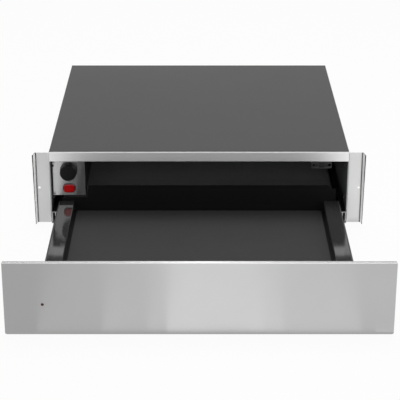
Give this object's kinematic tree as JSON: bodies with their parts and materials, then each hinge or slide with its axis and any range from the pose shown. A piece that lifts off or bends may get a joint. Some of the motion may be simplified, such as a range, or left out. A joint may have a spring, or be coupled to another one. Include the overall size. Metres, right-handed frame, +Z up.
{
  "type": "built-in warming drawer",
  "caption": "Built-in warming drawer: grey steel casing with stainless side flanges, fan heater, thermostat knob, red rocker and a pull-out tray on ball slides behind a plain steel front.",
  "frame": {"origin": "middle of the underside's front edge, in the cupboard's front plane that the side flanges seat on", "axes": "+X to the right as seen from the front, +Y into the cupboard, +Z up; the drawer opens towards -Y"},
  "size_m": [0.595, 0.9772, 0.1376],
  "materials": {
    "brushed_stainless": "brushed stainless steel, fine horizontal grain",
    "grey_cover": "smooth dark grey coated sheet",
    "galvanised_sheet": "zinc-coated sheet, satin",
    "black_enamel": "glossy black coated steel",
    "dark_liner": "satin black coated steel",
    "slide_steel": "bright zinc-plated steel",
    "black_zinc": "black zinc-plated steel, satin",
    "matt_black": "matt black coated steel",
    "mat_rubber": "matt dark grey, finely textured",
    "black_plastic": "fine satin black moulding",
    "red_key": "translucent red, glossy",
    "amber_lens": "dark amber, clear and glossy",
    "fan_alloy": "pressed aluminium",
    "motor_iron": "stacked iron sheets, varnished",
    "coil_copper": "wound enamelled copper",
    "heater_sheath": "heat-darkened steel tube",
    "mineral_board": "pressed mineral fibre",
    "soft_rubber": "black rubber",
    "lead_sleeve": "black heat-resistant sleeve"
  },
  "bodies": {
    "cabinet": {"base_panel": "galvanised_sheet", "side_panel_left": "galvanised_sheet", "side_panel_right": "galvanised_sheet", "rear_panel": "galvanised_sheet", "top_panel": "grey_cover", "top_rail": "brushed_stainless", "side_flange_left": "brushed_stainless", "side_flange_right": "brushed_stainless", "ceiling_liner": "dark_liner", "insulation_board": "mineral_board", "slide_rail_left": "black_zinc", "slide_rail_right": "black_zinc", "slide_rivets": "slide_steel", "control_housing": "dark_liner", "control_plate": "brushed_stainless", "thermostat": "black_plastic", "switch_frame": "black_plastic", "latch_bracket": "black_zinc", "latch_housing": "black_plastic", "air_baffle": "dark_liner", "fan_bracket": "galvanised_sheet", "motor_stator": "motor_iron", "motor_coil": "coil_copper", "bearing_bridge": "galvanised_sheet", "heating_element": "heater_sheath", "safety_cutout": "black_plastic", "terminal_block": "black_plastic", "cable_gland": "black_plastic", "wiring_loom": "lead_sleeve", "loom_grommets": "soft_rubber", "rear_screws": "slide_steel", "flange_screws": "black_zinc"},
    "drawer": {"front_panel": "brushed_stainless", "front_carrier": "dark_liner", "pilot_lens": "amber_lens", "lens_holder": "black_plastic", "bumpers": "soft_rubber", "latch_striker": "slide_steel", "tray": "matt_black", "side_arm_left": "black_enamel", "side_arm_right": "black_enamel", "rear_wall": "matt_black", "slip_mat": "mat_rubber", "slide_runner_left": "black_zinc", "slide_runner_right": "black_zinc"},
    "cage_left": {"ball_cage_left": "slide_steel", "slide_balls_left": "slide_steel"},
    "cage_right": {"ball_cage_right": "slide_steel", "slide_balls_right": "slide_steel"},
    "knob": {"thermostat_knob": "black_plastic", "thermostat_shaft": "slide_steel"},
    "rocker_key": {"rocker": "red_key"},
    "latch_pin": {"latch_plunger": "black_plastic"},
    "fan_rotor": {"motor_rotor": "motor_iron", "fan_shaft": "slide_steel", "fan_impeller": "fan_alloy"}
  },
  "joints": [
    {"name": "drawer_slide", "type": "slide", "parent": "cabinet", "child": "drawer", "axis": [0, -1, 0], "range_m": [-0.417, 0]},
    {"name": "cage_left_slide", "type": "slide", "parent": "cabinet", "child": "cage_left", "axis": [0, -1, 0], "range_m": [-0.2085, 0]},
    {"name": "cage_right_slide", "type": "slide", "parent": "cabinet", "child": "cage_right", "axis": [0, -1, 0], "range_m": [-0.2085, 0]},
    {"name": "knob_turn", "type": "hinge", "parent": "cabinet", "child": "knob", "pos_m": [-0.2342, 0.0133, 0.09337], "axis": [0, 1, 0], "range_deg": [0, 270]},
    {"name": "rocker_press", "type": "hinge", "parent": "cabinet", "child": "rocker_key", "pos_m": [-0.2339, 0.0226, 0.0594], "axis": [0, 0, -1], "range_deg": [0, 10]},
    {"name": "latch_press", "type": "slide", "parent": "cabinet", "child": "latch_pin", "axis": [0, 1, 0], "range_m": [0, 0.005], "stiffness_N_per_m": 400, "springref_m": -0.003},
    {"name": "fan_spin", "type": "hinge", "parent": "cabinet", "child": "fan_rotor", "pos_m": [0, 0.49, 0.05995], "axis": [0, 1, 0], "continuous": true}
  ],
  "couplings": [
    {"joint": "cage_left_slide", "follows": "drawer_slide", "ratio": 0.5},
    {"joint": "cage_right_slide", "follows": "drawer_slide", "ratio": 0.5}
  ]
}
